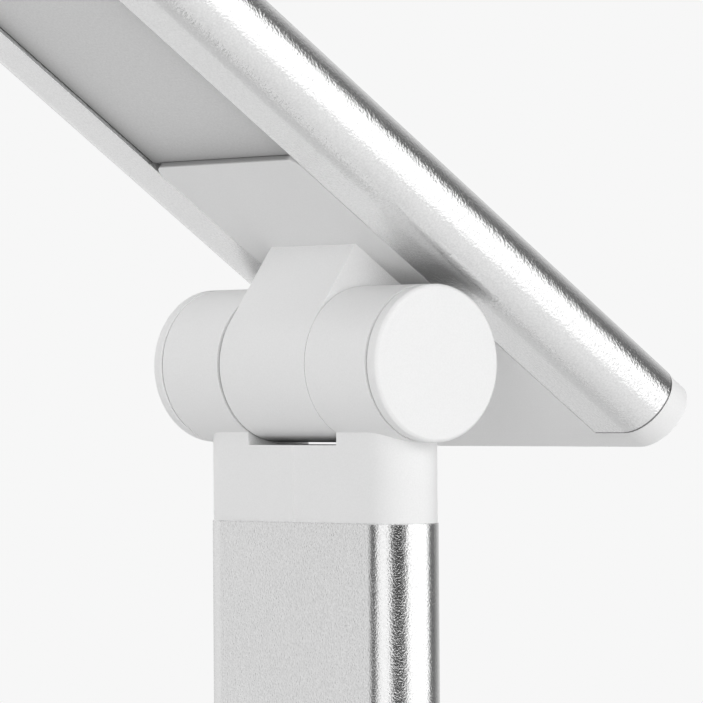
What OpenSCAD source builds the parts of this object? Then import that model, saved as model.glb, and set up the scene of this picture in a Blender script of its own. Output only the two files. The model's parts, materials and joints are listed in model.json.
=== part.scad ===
// Folding LED desk lamp: a weighted base, a flat extruded arm and a flat extruded light head,
// joined by two friction hinges of the same design. The leads run inside, through the hollow
// hinge shafts. Millimetres, +Z up, the head's tip towards -Y. The origin is the centre of the
// base's underside.

/* [Pose] */
// Pitch of the light head above level as modelled, degrees
head_pitch = 35; // [0:1:60]

/* [Base] */
// Width of the base, side to side
base_w = 140; // [112:1:200]
// Depth of the base, front to back
base_d = 200; // [160:1:260]
// Height of the base housing above its pad
base_h = 16.5; // [15.5:0.5:26]
// Plan radius of the base's corners
base_corner_r = 24; // [12:1:40]
// Radius of the base's top edge
base_edge_r = 5; // [2:0.5:6]
// Wall thickness of the base housing
base_wall = 2.5; // [2:0.1:3]
// Distance from the arm's pivot to the base's rear edge
pivot_setback = 34; // [32:1:60]
// Thickness of the anti-slip pad
pad_t = 1.5; // [1:0.1:3]
// How far the pad's edge lies inside the base's edge
pad_inset = 9; // [6:1:14]
// Thickness of the bottom cover
cover_t = 2; // [1.5:0.1:3]
// Thickness of the steel ballast plate
ballast_t = 6; // [3:0.5:7]
// How far the ballast's edge lies inside the base's edge
ballast_inset = 24; // [22:1:36]

/* [Touch panel] */
// Length of the touch panel, side to side
panel_w = 92; // [70:1:98]
// Width of the touch panel, front to back
panel_d = 28; // [18:1:34]
// Thickness of the touch panel
panel_t = 1.4; // [1:0.1:1.6]
// Distance from the touch panel's centre to the base's front edge
panel_setback = 36; // [32:1:60]
// Radius of the status light pipe
pipe_r = 1.2; // [0.8:0.1:2]

/* [Arm] */
// Distance between the two hinge axes
arm_l = 300; // [240:1:400]
// Width of the arm extrusion
arm_w = 44.9; // [37:0.1:56]
// Thickness of the arm extrusion
arm_t = 11.2; // [9.3:0.1:14]
// Wall thickness of the arm extrusion
arm_wall = 1.6; // [1.2:0.1:2]
// How far the extrusion stands proud of the clevises all round
sleeve_step = 0.15; // [0.1:0.05:0.6]
// Length of a clevis between its barrel and the extrusion
clevis_skirt = 11.2; // [8:0.1:20]
// Depth of a clevis's spigot in the extrusion
spigot_l = 14; // [8:1:30]

/* [Hinges] */
// Diameter of the hinge barrels
barrel_d = 22; // [20.5:0.1:27]
// How far each end of a barrel passes the arm's side
barrel_overhang = 3.3; // [2:0.1:6]
// Width of the knuckles on the base and the head
knuckle_w = 19.4; // [16:0.1:24]
// Thickness of the end caps that close a barrel
end_cap_t = 2.5; // [1.6:0.1:3]
// Depth of the nut and shaft-head recesses in a barrel's ends
recess_depth = 8; // [7.5:0.1:8.5]
// Radius of those recesses
recess_r = 9; // [8.2:0.1:9.2]
// Radius of the hinge shafts
shaft_r = 4; // [3.6:0.1:4.4]
// Radius of the hole along a shaft for the lead
shaft_hole_r = 2.2; // [1.8:0.1:2.4]
// Radial wall of the bushes in a knuckle
bush_wall = 1; // [0.8:0.1:1.5]
// Gap between the two bushes in a knuckle, where the lead turns
bush_gap = 7; // [6:0.5:9]

/* [Head] */
// Width of the head extrusion
head_w = 56.6; // [47:0.1:70]
// Thickness of the head extrusion
head_t = 11.2; // [9.5:0.1:14]
// Length of the head extrusion
head_l = 313; // [250:1:330]
// Wall thickness of the head extrusion
head_wall = 1.4; // [1.2:0.1:1.8]
// Flat width of each lip beside the opening in the head's underside
lip_w = 6.3; // [5.8:0.1:9]
// Gap from the hinge barrel to the head's underside
head_clear = 1.9; // [1.2:0.1:4]
// Distance from the hinge axis back to the extrusion's rear end
head_tail = 36; // [30:1:50]
// Distance from the hinge axis forward to the housing plate's front edge
plate_reach = 30.8; // [29:0.1:60]
// Plan radius of the housing plate's front corners
plate_corner_r = 2.4; // [1:0.1:6]
// Length of the caps beyond the extrusion's ends
head_cap_l = 3.6; // [3:0.1:8]
// Depth of the diffuser's face below the lips
diffuser_depth = 0.6; // [0.3:0.1:1]
// Thickness of the diffuser's flanges behind the lips
diffuser_flange_t = 1.2; // [0.8:0.1:1.6]
// How far what lies behind the lips reaches past the opening's edge
flange_reach = 3; // [2:0.1:3.1]
// Distance between neighbouring light-emitting diodes in a row
led_pitch = 10; // [6:1:20]
// Distance between the two rows of diodes
led_row_gap = 12; // [8:1:18]

/* [Boards, leads and screws] */
// Thickness of the two circuit boards in the base
board_t = 1.6; // [1:0.1:2]
// Thickness of the boards in the head
head_board_t = 1; // [0.8:0.1:1.2]
// Radius of the leads
lead_r = 0.9; // [0.6:0.1:1.2]
// Radius of a lead's centre line in its bends
lead_bend = 3; // [2.5:0.1:3.4]
// Shank radius of the screws in the extrusions and the base
screw_r = 1.5; // [1.2:0.1:1.6]
// Shank radius of the small screws in boards and head caps
small_screw_r = 1.1; // [0.8:0.1:1.3]

/* [Fits] */
// Gap between a knuckle and the clevis ear on the spring washers' side
spring_side_gap = 0.15; // [0.1:0.05:0.4]
// Gap between a knuckle and the other ear
far_side_gap = 0.65; // [0.2:0.05:0.8]
// Gap between a knuckle and the bottom of its slot
slot_gap = 0.35; // [0.3:0.05:0.8]
// Radial running clearance of a shaft in its bushes
running_gap = 0.06; // [0.02:0.01:0.1]
// Gap round pieces that are pushed or dropped into place
push_gap = 0.15; // [0.1:0.05:0.3]
// Gap between a screw and the wall that it bites
thread_gap = 0.02; // [0.01:0.01:0.05]
// Gap left above the base when the head is folded onto it
fold_gap = 3.4; // [1:0.1:8]

/* [Hidden] */
$fn = 96;
eps = 0.01;

white = [0.86, 0.86, 0.85];
silver = [0.78, 0.79, 0.80];
steel = [0.60, 0.61, 0.63];
board_green = [0.10, 0.38, 0.24];
lead_grey = [0.35, 0.35, 0.37];

// Hinge, measured from the middle of its axis
barrel_r = barrel_d / 2;
ear_out = arm_w / 2 + barrel_overhang - end_cap_t;
knuckle_half = knuckle_w / 2;
slot_floor = barrel_r + slot_gap;
recess_floor = ear_out - recess_depth;
key_depth = 1;
key_af = 12;
key_gap = 0.1;
shaft_head_t = 2.6;
shaft_end = ear_out - 0.6;
friction_r = 8;
friction_t = 1.2;
friction_x = knuckle_half + 0.1;
washer_r = 7.6;
washer_gap = 0.15;
spring_t = 0.7;
spring_rise = 0.35;
spring_space = 0.05;
flat_washer_t = 1;
nut_af = 13;
nut_t = 3.4;
stack_space = 0.1;
end_cap_groove = 0.45;
end_cap_groove_depth = 0.5;
end_cap_chamfer = 0.4;
end_cap_ring_t = 1.2;
end_cap_ring_l = 1.5;
bush_r = shaft_r + running_gap + bush_wall;

// The arm's lead lies in the arm's left round side and turns into the shaft's hollow end.
// The leads of the base and the head turn out of the shaft's window at lead_exit_x.
lead_x = -(arm_w / 2 - 3.2);
lead_space = 0.6;
lead_channel_r = lead_r + lead_space;
lead_start_x = -1.2;
lead_exit_x = lead_start_x + lead_bend;
lead_end_gap = 0.3;
window_half = lead_r + 0.7;
window_floor = lead_r + 0.5;

// Clevis and arm
clevis_w = arm_w - 2 * sleeve_step;
clevis_t = arm_t - 2 * sleeve_step;
clevis_h = barrel_r + clevis_skirt;
arm_inner_w = arm_w - 2 * arm_wall;
arm_inner_t = arm_t - 2 * arm_wall;
port_r = 3;
port_rib = 2;
port_gap = 0.3;
screw_head_r = 2.7;
screw_head_t = 1.8;
screw_seat_gap = 0.3;
screw_seat = screw_head_t + 0.2;
screw_hole_r = screw_r + 0.2;
screw_tip_space = 0.5;
clevis_screw_x = knuckle_half - screw_head_r - 0.8;
clevis_screw_bite = 12;

// Base
base_top = pad_t + base_h;
cover_top = pad_t + cover_t;
ballast_top = cover_top + ballast_t;
ceiling = base_top - base_wall;
pivot_y = base_d / 2 - pivot_setback;
panel_y = -base_d / 2 + panel_setback;
boss_r = 3.5;
boss_inset = 12;
boss_x = base_w / 2 - boss_inset;
boss_past_corner = 4;
boss_y = base_d / 2 - base_corner_r + boss_past_corner;
boss_spots = [for (x = [-1, 1], y = [-1, 0, 1]) [x * boss_x, y * boss_y]];
ballast_screw_x = base_w / 2 - 32;
ballast_screw_y = 30;
ballast_spots = [for (x = [-1, 1], y = [-1, 1]) [x * ballast_screw_x, y * ballast_screw_y]];
ballast_corner_r = 6;
ballast_screw_bite = 4;
cover_screw_bite = 8;

control_w = panel_w - 8;
control_d = panel_d + 14;
control_top = ceiling - 1.7;
control_bottom = control_top - board_t;
control_rear = panel_y + control_d / 2;
control_screw_inset = 5;
control_spots = [for (x = [-1, 1], y = [-1, 1])
    [x * (control_w / 2 - control_screw_inset),
     panel_y + y * (control_d / 2 - control_screw_inset)]];
small_boss_r = 2.6;
small_head_r = 2.0;
small_head_t = 1.2;
small_bite = 1.2;
small_tip_space = 0.3;
small_hole_r = small_screw_r + 0.15;
pipe_x = panel_w / 2 - panel_d / 2;

power_w = 28;
power_front = base_d / 2 - 22;
power_rear = base_d / 2 - base_wall - 0.5;
power_top = pad_t + 9.6;
power_screw_x = 11;
power_screw_y = power_front + 7;
power_spots = [for (x = [-1, 1]) [x * power_screw_x, power_screw_y]];
inlet_w = 8.94;
inlet_h = 3.26;
inlet_l = 7.3;
inlet_wall = 0.3;
inlet_z = power_top + inlet_h / 2;
inlet_gap = 0.25;
tongue_w = 6.7;
tongue_t = 0.7;
plug_h = 2.2;
plug_w = 6;
plug_l = 6;
plug_lip = 2;
feed_x = -8;
lead_z = power_top + 0.5;

// Hinge axes
pivot_z = base_top + barrel_r + head_clear + head_t + fold_gap;
head_axis_z = pivot_z + arm_l;

// Head, in its own frame: hinge axis at the origin, head level, underside facing -Z
under_z = barrel_r + head_clear;
head_zc = under_z + head_t / 2;
lip_top = under_z + head_wall + 0.1;
head_ceiling = under_z + head_t - head_wall;
port_x = (head_w - head_t) / 2;
head_port_r = 2.6;
head_rib_l = (head_t - head_wall) / 2;
head_rib_t = 1.6;
open_w = head_w - head_t - 2 * lip_w;
flange_w = open_w + 2 * flange_reach;
plug_in_w = open_w - 2 * push_gap;
cap_outline_step = 0.15;
plate_flange_t = 1.8;
plate_top = lip_top + plate_flange_t;
divider_t = 1.6;
engine_gap = 0.2;
front_plug_l = 6.5;
head_front = head_tail - head_l;
engine_rear = -plate_reach - engine_gap;
engine_front = head_front + front_plug_l + engine_gap;
diffuser_top = lip_top + diffuser_flange_t;
led_board_bottom = head_ceiling - head_board_t;
led_board_w = led_row_gap + 20;
led_w = 2.8;
led_l = 3.5;
led_t = 0.7;
led_bottom = led_board_bottom - led_t;
led_count = floor((engine_rear - engine_front - 12) / led_pitch) + 1;
led_first = (engine_rear + engine_front) / 2 + (led_count - 1) * led_pitch / 2;
driver_w = 28;
driver_rear = 8;
driver_front = -plate_reach + divider_t + 1;
driver_standoff = 1.4;
driver_bottom = plate_top + driver_standoff;
driver_top = driver_bottom + head_board_t;
driver_screw_x = 11;
driver_spots = [for (x = [-1, 1]) [x * driver_screw_x, driver_front + 4]];
led_lead_x = 6;
led_lead_z = head_ceiling - lead_r - 0.1;
led_plug_l = 4;
led_lead_end = 0.9;
led_lead_rear = driver_front + 3;
cap_screw_head_r = 2.3;
cap_screw_bite = 10;

// A flat bar's outline with fully round sides
module stadium(w, t) {
    square([w - t, t], center = true);
    for (x = [-1, 1]) translate([x * (w - t) / 2, 0]) circle(d = t);
}

// A rectangle with round corners
module round_rect(w, d, r) {
    square([w - 2 * r, d], center = true);
    square([w, d - 2 * r], center = true);
    for (x = [-1, 1], y = [-1, 1]) translate([x * (w / 2 - r), y * (d / 2 - r)]) circle(r);
}

// Half of a slab's section, from its middle to its edge, with a round top edge
module edge_half(half, h, e) {
    square([half, h - e]);
    square([half - e, h]);
    translate([half - e, h - e]) circle(e);
}

// A slab on z = 0 with round plan corners and a round top edge
module round_slab(w, d, h, r, e) {
    for (x = [-1, 1], y = [-1, 1]) translate([x * (w / 2 - r), y * (d / 2 - r), 0])
        rotate_extrude() edge_half(r, h, e);
    for (turn = [0, 1]) {
        half = turn == 0 ? w / 2 : d / 2;
        run = turn == 0 ? d - 2 * r : w - 2 * r;
        rotate([0, 0, turn * 90]) translate([0, run / 2, 0]) rotate([90, 0, 0])
            linear_extrude(run) for (m = [0, 1]) mirror([m, 0]) edge_half(half, h, e);
    }
}

// A cylinder along X from x0 to x1
module x_rod(r, x0, x1) {
    translate([x0, 0, 0]) rotate([0, 90, 0]) cylinder(r = r, h = x1 - x0);
}

// A hexagonal bar along X from x0 to x1, by its width across flats
module x_hex(af, x0, x1) {
    translate([x0, 0, 0]) rotate([0, 90, 0]) cylinder(r = af / 2 / cos(30), h = x1 - x0, $fn = 6);
}

// A ring along X from x0 to x1
module x_ring(r_out, r_in, x0, x1) {
    difference() {
        x_rod(r_out, x0, x1);
        x_rod(r_in, x0 - 1, x1 + 1);
    }
}

// A quarter turn of a lead round the origin, from +X to +Y in the XY plane
module lead_turn() {
    rotate_extrude(angle = 90) translate([lead_bend, 0]) circle(lead_r, $fn = 32);
}

// A straight stretch of lead along +Z
module lead_run(l) {
    cylinder(r = lead_r, h = l, $fn = 32);
}

// A pan-head screw pointing down: the head's seat is at z = 0
module pan_screw(r, head_r, head_t, l) {
    difference() {
        union() {
            translate([0, 0, -l]) cylinder(r = r, h = l + eps);
            cylinder(r = head_r, h = head_t);
        }
        for (a = [0, 90]) rotate([0, 0, a]) translate([0, 0, head_t])
            cube([head_r * 1.2, head_r * 0.28, head_t], center = true);
    }
}

// A countersunk screw pointing down: the head's top is at z = 0
module flush_screw(r, head_r, l) {
    head_t = head_r - r;
    difference() {
        union() {
            translate([0, 0, -l]) cylinder(r = r, h = l);
            translate([0, 0, -head_t]) cylinder(r1 = r, r2 = head_r, h = head_t);
        }
        for (a = [0, 90]) rotate([0, 0, a]) cube([head_r * 1.2, head_r * 0.28, head_t], center = true);
    }
}

// The hole for a countersunk screw
module flush_hole(r, head_r, l) {
    head_t = head_r - r;
    translate([0, 0, -l]) cylinder(r = r, h = l + eps);
    translate([0, 0, -head_t]) cylinder(r1 = r, r2 = head_r, h = head_t + eps);
    cylinder(r = head_r, h = 1);
}

// Frames: the two hinges and the head
module at_base_hinge() {
    translate([0, pivot_y, pivot_z]) mirror([0, 0, 1]) children();
}
module at_head_hinge() {
    translate([0, pivot_y, head_axis_z]) children();
}
module in_head() {
    at_head_hinge() rotate([-head_pitch, 0, 0]) children();
}

// ---------------------------------------------------------------- hinge pieces
// Each is drawn round its own axis with the arm below it.

// The forked end of the arm: two ears that hold the shaft, and a spigot for the extrusion
module clevis() {
    difference() {
        union() {
            x_rod(barrel_r, -ear_out, ear_out);
            translate([0, 0, -clevis_h]) linear_extrude(clevis_h) stadium(clevis_w, clevis_t);
            translate([0, 0, -clevis_h - spigot_l]) linear_extrude(spigot_l + eps)
                spigot_outline();
        }
        // slot for the knuckle
        translate([-knuckle_half - far_side_gap, -barrel_r - 1, -slot_floor])
            cube([knuckle_w + far_side_gap + spring_side_gap, barrel_d + 2,
                  slot_floor + barrel_r + 1]);
        // shaft, recesses for its head and nut, keyed seat, friction washer seats
        x_rod(shaft_r + thread_gap, -ear_out, ear_out);
        for (m = [0, 1]) mirror([m, 0, 0]) {
            x_rod(recess_r, recess_floor, ear_out + 1);
            x_rod(friction_r + push_gap, knuckle_half - 1, friction_x + friction_t);
        }
        x_hex(key_af + 2 * key_gap, -recess_floor - 1, -recess_floor + key_depth);
        // way for the lead
        translate([lead_x, 0, -clevis_h - spigot_l - 1])
            cylinder(r = lead_channel_r, h = clevis_h + spigot_l + 1 - shaft_r);
        // screws into the extrusion's ports
        for (x = [-1, 1]) translate([x * clevis_screw_x, 0, 0]) {
            translate([0, 0, -clevis_h - 1]) cylinder(r = screw_hole_r, h = clevis_h);
            translate([0, 0, -slot_floor - screw_seat])
                cylinder(r = screw_head_r + screw_seat_gap, h = screw_seat + 1);
        }
    }
}

// The spigot's outline: the extrusion's hollow less a push gap and the screw ports
module spigot_outline() {
    difference() {
        stadium(arm_inner_w - 2 * push_gap, arm_inner_t - 2 * push_gap);
        for (x = [-1, 1]) translate([x * clevis_screw_x, 0]) {
            circle(port_r + port_gap);
            square([port_rib + 2 * port_gap, arm_inner_t], center = true);
        }
    }
}

module clevis_screws() {
    for (x = [-1, 1]) translate([x * clevis_screw_x, 0, -slot_floor - screw_seat])
        pan_screw(screw_r, screw_head_r, screw_head_t,
                  clevis_h - slot_floor - screw_seat + clevis_screw_bite);
}

// Keyed hollow shaft; the window lets the lead out over half a turn
module hinge_shaft() {
    difference() {
        union() {
            x_hex(key_af, -recess_floor + key_depth - shaft_head_t, -recess_floor + key_depth);
            x_rod(shaft_r, -recess_floor, shaft_end);
        }
        x_rod(shaft_hole_r, -ear_out, lead_exit_x + window_half);
        translate([lead_exit_x - window_half, -shaft_r - 1, -window_floor])
            cube([2 * window_half, 2 * shaft_r + 2, window_floor + shaft_r + 1]);
    }
}

module friction_washers() {
    for (m = [0, 1]) mirror([m, 0, 0])
        x_ring(friction_r, shaft_r + washer_gap, friction_x, friction_x + friction_t);
}

// One cone washer along +X with its hollow side towards -X
module cone_washer() {
    rotate([0, 90, 0]) rotate_extrude() polygon([
        [shaft_r + washer_gap, spring_rise], [washer_r, 0],
        [washer_r, spring_t], [shaft_r + washer_gap, spring_rise + spring_t]]);
}

spring_stack = 2 * (spring_t + spring_rise) + spring_space;
module spring_washers() {
    translate([recess_floor, 0, 0]) cone_washer();
    translate([recess_floor + spring_stack, 0, 0]) mirror([1, 0, 0]) cone_washer();
}

flat_washer_x = recess_floor + spring_stack + stack_space;
module flat_washer() {
    x_ring(washer_r, shaft_r + washer_gap, flat_washer_x, flat_washer_x + flat_washer_t);
}

nut_x = flat_washer_x + flat_washer_t + stack_space;
module hinge_nut() {
    difference() {
        x_hex(nut_af, nut_x, nut_x + nut_t);
        x_rod(shaft_r + thread_gap, nut_x - 1, nut_x + nut_t + 1);
    }
}

// Round caps that close the barrel: a chamfered disc, a shadow groove and a locating ring
module end_caps() {
    ring_r = recess_r - push_gap;
    for (m = [0, 1]) mirror([m, 0, 0]) translate([ear_out, 0, 0]) rotate([0, 90, 0])
        rotate_extrude() polygon([
            [0, 0], [ring_r - end_cap_ring_t, 0], [ring_r - end_cap_ring_t, -end_cap_ring_l],
            [ring_r, -end_cap_ring_l], [ring_r, 0], [barrel_r - end_cap_groove_depth, 0],
            [barrel_r - end_cap_groove_depth, end_cap_groove], [barrel_r, end_cap_groove],
            [barrel_r, end_cap_t - end_cap_chamfer], [barrel_r - end_cap_chamfer, end_cap_t],
            [0, end_cap_t]]);
}

module bushes() {
    for (m = [0, 1]) mirror([m, 0, 0])
        x_ring(bush_r - thread_gap, shaft_r + running_gap, bush_gap / 2, knuckle_half);
}

// Knuckle and neck: upwards from the axis to the plate or housing at z = reach
module knuckle(reach) {
    x_rod(barrel_r, -knuckle_half, knuckle_half);
    translate([-knuckle_half, -barrel_r, 0]) cube([knuckle_w, barrel_d, reach]);
}
module knuckle_holes(reach) {
    x_rod(bush_r, -knuckle_w, knuckle_w);
    translate([lead_exit_x, 0, 0]) cylinder(r = lead_channel_r, h = reach);
}

// The lead from inside the shaft out of its window and up to z = rise
module knuckle_lead(rise) {
    translate([lead_start_x, 0, lead_bend]) rotate([90, 0, 0]) rotate([0, 0, -90]) lead_turn();
    translate([lead_exit_x, 0, lead_bend]) lead_run(rise - lead_bend);
}

// ---------------------------------------------------------------- base
module anti_slip_pad() {
    color([0.20, 0.20, 0.21]) linear_extrude(pad_t)
        round_rect(base_w - 2 * pad_inset, base_d - 2 * pad_inset, base_corner_r - pad_inset / 2);
}

module base_inner_outline(gap) {
    round_rect(base_w - 2 * (base_wall + gap), base_d - 2 * (base_wall + gap),
               base_corner_r - base_wall - gap);
}

module base_cover() {
    color([0.30, 0.30, 0.31]) difference() {
        translate([0, 0, pad_t]) linear_extrude(cover_t) base_inner_outline(push_gap);
        for (p = boss_spots) translate([p[0], p[1], pad_t]) mirror([0, 0, 1])
            flush_hole(screw_hole_r, screw_head_r + 0.2, cover_t + 1);
    }
}

module base_cover_screws() {
    color(steel) for (p = boss_spots) translate([p[0], p[1], pad_t]) mirror([0, 0, 1])
        flush_screw(screw_r, screw_head_r, cover_t + cover_screw_bite);
}

module ballast_plate() {
    w = base_w - 2 * ballast_inset;
    d = base_d - 2 * ballast_inset;
    color(steel) difference() {
        translate([0, 0, cover_top]) linear_extrude(ballast_t) round_rect(w, d, ballast_corner_r);
        for (p = ballast_spots) translate([p[0], p[1], cover_top]) {
            translate([0, 0, -1]) cylinder(r = screw_hole_r, h = ballast_t + 2);
            translate([0, 0, -1]) cylinder(r = screw_head_r + screw_seat_gap, h = screw_seat + 1);
        }
    }
}

module ballast_screws() {
    color(steel) for (p = ballast_spots) translate([p[0], p[1], cover_top + screw_seat])
        mirror([0, 0, 1]) pan_screw(screw_r, screw_head_r, screw_head_t,
                                    ballast_t - screw_seat + ballast_screw_bite);
}

// Housing with its neck and knuckle, screw bosses, panel seat and inlet cut-out
module base_housing() {
    color(white) difference() {
        union() {
            difference() {
                translate([0, 0, pad_t]) round_slab(base_w, base_d, base_h, base_corner_r, base_edge_r);
                translate([0, 0, pad_t - 1]) linear_extrude(ceiling - pad_t + 1)
                    base_inner_outline(0);
            }
            translate([0, pivot_y, pivot_z]) mirror([0, 0, 1]) knuckle(pivot_z - ceiling);
            for (p = boss_spots) translate([p[0], p[1], cover_top])
                cylinder(r = boss_r, h = ceiling - cover_top + eps);
            for (p = ballast_spots) translate([p[0], p[1], ballast_top])
                cylinder(r = boss_r, h = ceiling - ballast_top + eps);
            for (p = control_spots) translate([p[0], p[1], control_top])
                cylinder(r = small_boss_r, h = ceiling - control_top + eps);
            for (p = power_spots) translate([p[0], p[1], power_top])
                cylinder(r = small_boss_r, h = ceiling - power_top + eps);
        }
        translate([0, pivot_y, pivot_z]) mirror([0, 0, 1]) knuckle_holes(pivot_z - ceiling + 1);
        for (p = boss_spots) translate([p[0], p[1], cover_top - 1])
            cylinder(r = screw_r + thread_gap, h = cover_screw_bite + 1 + screw_tip_space);
        for (p = ballast_spots) translate([p[0], p[1], ballast_top - 1])
            cylinder(r = screw_r + thread_gap, h = ballast_screw_bite + 1 + screw_tip_space);
        for (p = control_spots) translate([p[0], p[1], control_top - 1])
            cylinder(r = small_screw_r + thread_gap, h = small_bite + 1 + small_tip_space);
        for (p = power_spots) translate([p[0], p[1], power_top - 1])
            cylinder(r = small_screw_r + thread_gap, h = small_bite + 1 + small_tip_space);
        // panel seat and light pipe hole
        translate([0, panel_y, base_top - panel_t]) linear_extrude(panel_t + 1)
            stadium(panel_w, panel_d);
        translate([pipe_x, panel_y, ceiling - 1]) cylinder(r = pipe_r + push_gap, h = base_wall + 2);
        // inlet cut-out in the rear wall
        translate([0, base_d / 2 + 1, inlet_z]) rotate([90, 0, 0]) linear_extrude(base_wall + 2)
            stadium(inlet_w + 2 * inlet_gap, inlet_h + 2 * inlet_gap);
    }
}

module base_hinge_bushes() {
    color([0.72, 0.55, 0.30]) at_base_hinge() bushes();
}

module touch_panel() {
    color([0.16, 0.16, 0.17]) translate([0, panel_y, base_top - panel_t]) difference() {
        linear_extrude(panel_t) stadium(panel_w - 2 * push_gap, panel_d - 2 * push_gap);
        translate([pipe_x, 0, -1]) cylinder(r = pipe_r + push_gap, h = panel_t + 2);
    }
}

module status_light_pipe() {
    color([0.9, 0.95, 1.0]) translate([pipe_x, panel_y, control_top])
        cylinder(r = pipe_r, h = base_top - control_top);
}

module control_board() {
    color(board_green) difference() {
        translate([0, panel_y, control_bottom]) linear_extrude(board_t)
            square([control_w, control_d], center = true);
        for (p = control_spots) translate([p[0], p[1], control_bottom - 1])
            cylinder(r = small_hole_r, h = board_t + 2);
    }
}

// Two plugs at the rear edge, the touch controller and six small capacitors
module control_board_parts() {
    chip = [7, 7, 1];
    control_chip_x = 20;
    capacitor = [2, 1.2, 0.8];
    capacitor_x = -32;
    capacitor_pitch = 6;
    color([0.12, 0.12, 0.13]) {
        for (x = [feed_x, lead_exit_x])
            translate([x - plug_w / 4, control_rear + plug_lip - plug_l, control_bottom - plug_h])
                cube([plug_w / 2, plug_l, plug_h]);
        translate([control_chip_x, panel_y - chip.y / 2, control_bottom - chip.z]) cube(chip);
        for (i = [0:5])
            translate([capacitor_x + i * capacitor_pitch, panel_y - 6, control_bottom - capacitor.z])
                cube(capacitor);
    }
}

module control_board_screws() {
    color(steel) for (p = control_spots) translate([p[0], p[1], control_bottom]) mirror([0, 0, 1])
        pan_screw(small_screw_r, small_head_r, small_head_t, board_t + small_bite);
}

module power_board() {
    color(board_green) difference() {
        translate([-power_w / 2, power_front, power_top - board_t])
            cube([power_w, power_rear - power_front, board_t]);
        for (p = power_spots) translate([p[0], p[1], power_top - board_t - 1])
            cylinder(r = small_hole_r, h = board_t + 2);
    }
}

// Output plug, charge controller, choke and two capacitors
module power_board_parts() {
    chip = [5, 4, 1];
    choke = [4, 4, 2];
    capacitor = [2, 1.2, 0.9];
    color([0.14, 0.14, 0.15]) {
        translate([feed_x - plug_w / 4, power_front - plug_lip, power_top])
            cube([plug_w / 2, plug_l, plug_h]);
        translate([-2, power_front + 1.5, power_top]) cube(chip);
        translate([6, power_front + 10.5, power_top]) cube(choke);
        for (x = [-11, -8]) translate([x, power_front + 11, power_top]) cube(capacitor);
    }
}

module power_board_screws() {
    color(steel) for (p = power_spots) translate([p[0], p[1], power_top - board_t])
        mirror([0, 0, 1]) pan_screw(small_screw_r, small_head_r, small_head_t, board_t + small_bite);
}

// Power inlet: a rolled metal shell, closed at its rear, and the contact tongue inside
module usb_c_inlet() {
    color(silver) translate([0, base_d / 2 - 0.2, inlet_z]) rotate([90, 0, 0]) {
        difference() {
            linear_extrude(inlet_l) stadium(inlet_w, inlet_h);
            translate([0, 0, -1]) linear_extrude(inlet_l)
                stadium(inlet_w - 2 * inlet_wall, inlet_h - 2 * inlet_wall);
        }
        translate([0, 0, 0.8]) linear_extrude(inlet_l - 1.4) square([tongue_w, tongue_t], center = true);
    }
}

// Feed from the power board to the control board, and on from there up into the neck
module base_leads() {
    front = control_rear + plug_lip;
    color(lead_grey) {
        translate([feed_x, power_front - plug_lip, lead_z]) rotate([90, 0, 0])
            lead_run(power_front - plug_lip - front);
        at_base_hinge() knuckle_lead(pivot_z - lead_z - lead_bend);
        translate([lead_exit_x, pivot_y - lead_bend, lead_z + lead_bend]) {
            rotate([0, 90, 0]) lead_turn();
            translate([0, 0, -lead_bend]) rotate([90, 0, 0]) lead_run(pivot_y - lead_bend - front);
        }
    }
}

// ---------------------------------------------------------------- arm
module arm_extrusion() {
    color(silver) translate([0, pivot_y, pivot_z + clevis_h])
        linear_extrude(arm_l - 2 * clevis_h) difference() {
            union() {
                difference() {
                    stadium(arm_w, arm_t);
                    stadium(arm_inner_w, arm_inner_t);
                }
                for (x = [-1, 1]) translate([x * clevis_screw_x, 0]) {
                    circle(port_r);
                    square([port_rib, arm_inner_t + arm_wall], center = true);
                }
            }
            for (x = [-1, 1]) translate([x * clevis_screw_x, 0]) circle(screw_r + thread_gap);
        }
}

module arm_lower_clevis() {
    color(white) at_base_hinge() clevis();
}
module arm_lower_screws() {
    color(steel) at_base_hinge() clevis_screws();
}
module arm_upper_clevis() {
    color(white) at_head_hinge() clevis();
}
module arm_upper_screws() {
    color(steel) at_head_hinge() clevis_screws();
}

// One end of the arm's lead: a turn from the arm into the hollow shaft
module arm_lead_end() {
    translate([lead_x + lead_bend, 0, 0]) {
        translate([0, 0, -lead_bend]) rotate([90, 0, 0]) rotate([0, 0, 90]) lead_turn();
        rotate([0, 90, 0]) lead_run(lead_start_x - lead_end_gap - lead_x - lead_bend);
    }
}

// Up the arm's left side, from shaft to shaft
module arm_lead() {
    color(lead_grey) {
        translate([lead_x, pivot_y, pivot_z + lead_bend]) lead_run(arm_l - 2 * lead_bend);
        at_base_hinge() arm_lead_end();
        at_head_hinge() arm_lead_end();
    }
}

module base_hinge_shaft() {
    color(steel) at_base_hinge() hinge_shaft();
}
module base_hinge_friction_washers() {
    color([0.9, 0.9, 0.86]) at_base_hinge() friction_washers();
}
module base_hinge_spring_washers() {
    color(steel) at_base_hinge() spring_washers();
}
module base_hinge_flat_washer() {
    color(steel) at_base_hinge() flat_washer();
}
module base_hinge_nut() {
    color(steel) at_base_hinge() hinge_nut();
}
module base_hinge_end_caps() {
    color(white) at_base_hinge() end_caps();
}
module head_hinge_shaft() {
    color(steel) at_head_hinge() hinge_shaft();
}
module head_hinge_friction_washers() {
    color([0.9, 0.9, 0.86]) at_head_hinge() friction_washers();
}
module head_hinge_spring_washers() {
    color(steel) at_head_hinge() spring_washers();
}
module head_hinge_flat_washer() {
    color(steel) at_head_hinge() flat_washer();
}
module head_hinge_nut() {
    color(steel) at_head_hinge() hinge_nut();
}
module head_hinge_end_caps() {
    color(white) at_head_hinge() end_caps();
}

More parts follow.
